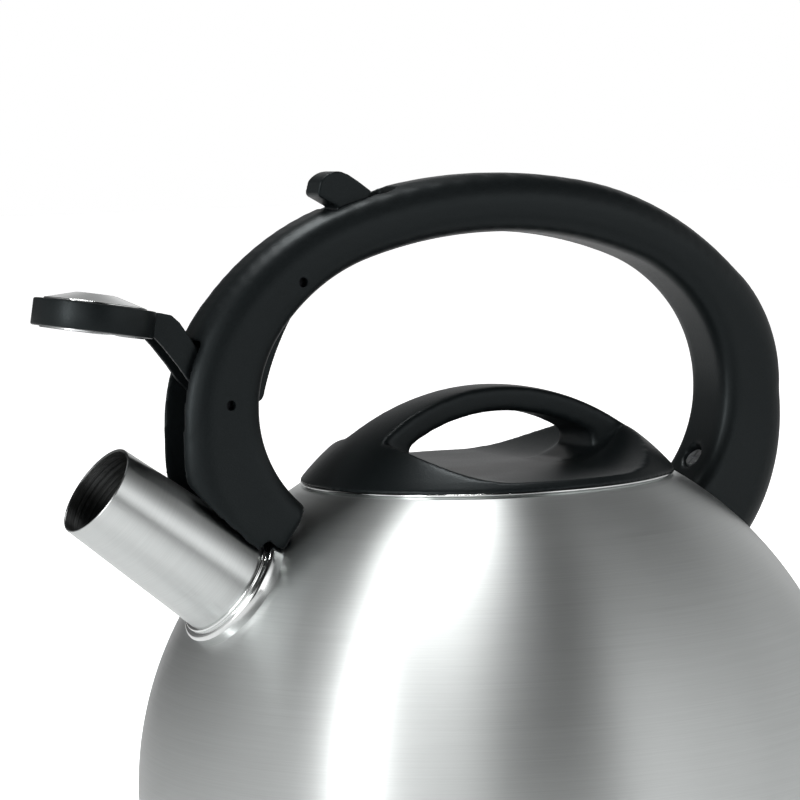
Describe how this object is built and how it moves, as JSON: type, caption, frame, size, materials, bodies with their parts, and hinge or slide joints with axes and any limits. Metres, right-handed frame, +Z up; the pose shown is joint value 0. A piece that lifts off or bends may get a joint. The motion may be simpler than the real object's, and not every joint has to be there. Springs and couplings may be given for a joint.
{
  "type": "stovetop whistling kettle",
  "caption": "Round stainless steel stovetop kettle with a fixed black arch handle, a thumb lever that swings the whistle cap off the spout, and a lift-off lid.",
  "frame": {"origin": "centre of the base's underside, on the belly's axis", "axes": "+Z up, the spout points to -X, the handle stands in the XZ plane"},
  "size_m": [0.2552, 0.22, 0.2271],
  "materials": {
    "brushed_steel": "satin stainless steel brushed in fine lines round the body",
    "polished_steel": "polished stainless steel",
    "sheet_steel": "plain pressed stainless sheet",
    "plated_steel": "zinc plated steel",
    "spring_steel": "bright drawn spring wire",
    "aluminium_core": "plain rolled aluminium",
    "black_plastic": "heat resistant black plastic with a fine spark-eroded grain"
  },
  "bodies": {
    "kettle": {"body_dome": "brushed_steel", "body_bowl": "brushed_steel", "neck_ring": "brushed_steel", "heat_spreader": "aluminium_core", "base_cap": "brushed_steel", "spout_tube": "brushed_steel", "spout_collar": "polished_steel", "handle": "black_plastic", "front_bracket": "sheet_steel", "rear_bracket": "sheet_steel", "front_handle_screw": "plated_steel", "rear_handle_screw": "plated_steel", "lever_pin": "plated_steel", "cap_pin": "plated_steel", "return_spring": "spring_steel"},
    "lid": {"lid_pan": "polished_steel", "lid_cover": "black_plastic", "lid_screws": "plated_steel", "lid_washers": "plated_steel"},
    "lever": {"thumb_lever": "black_plastic", "drive_pin": "plated_steel"},
    "whistle_cap": {"cap_arm": "black_plastic", "whistle_plate": "sheet_steel", "whistle_chamber": "sheet_steel", "whistle_cover": "polished_steel"}
  },
  "joints": [
    {"name": "thumb_lever_swing", "type": "hinge", "parent": "kettle", "child": "lever", "pos_m": [-0.0653, 0, 0.1953], "axis": [0, 1, 0], "range_deg": [0, 14], "stiffness_Nm_per_rad": 0.2, "springref_deg": 28.65},
    {"name": "whistle_cap_swing", "type": "hinge", "parent": "kettle", "child": "whistle_cap", "pos_m": [-0.09, 0, 0.16084], "axis": [0, 1, 0], "range_deg": [-63, 0]},
    {"name": "lid_lift", "type": "slide", "parent": "kettle", "child": "lid", "axis": [0, 0, 1], "range_m": [0, 0.04]}
  ],
  "couplings": [
    {"joint": "whistle_cap_swing", "follows": "thumb_lever_swing", "ratio": -4.5}
  ]
}
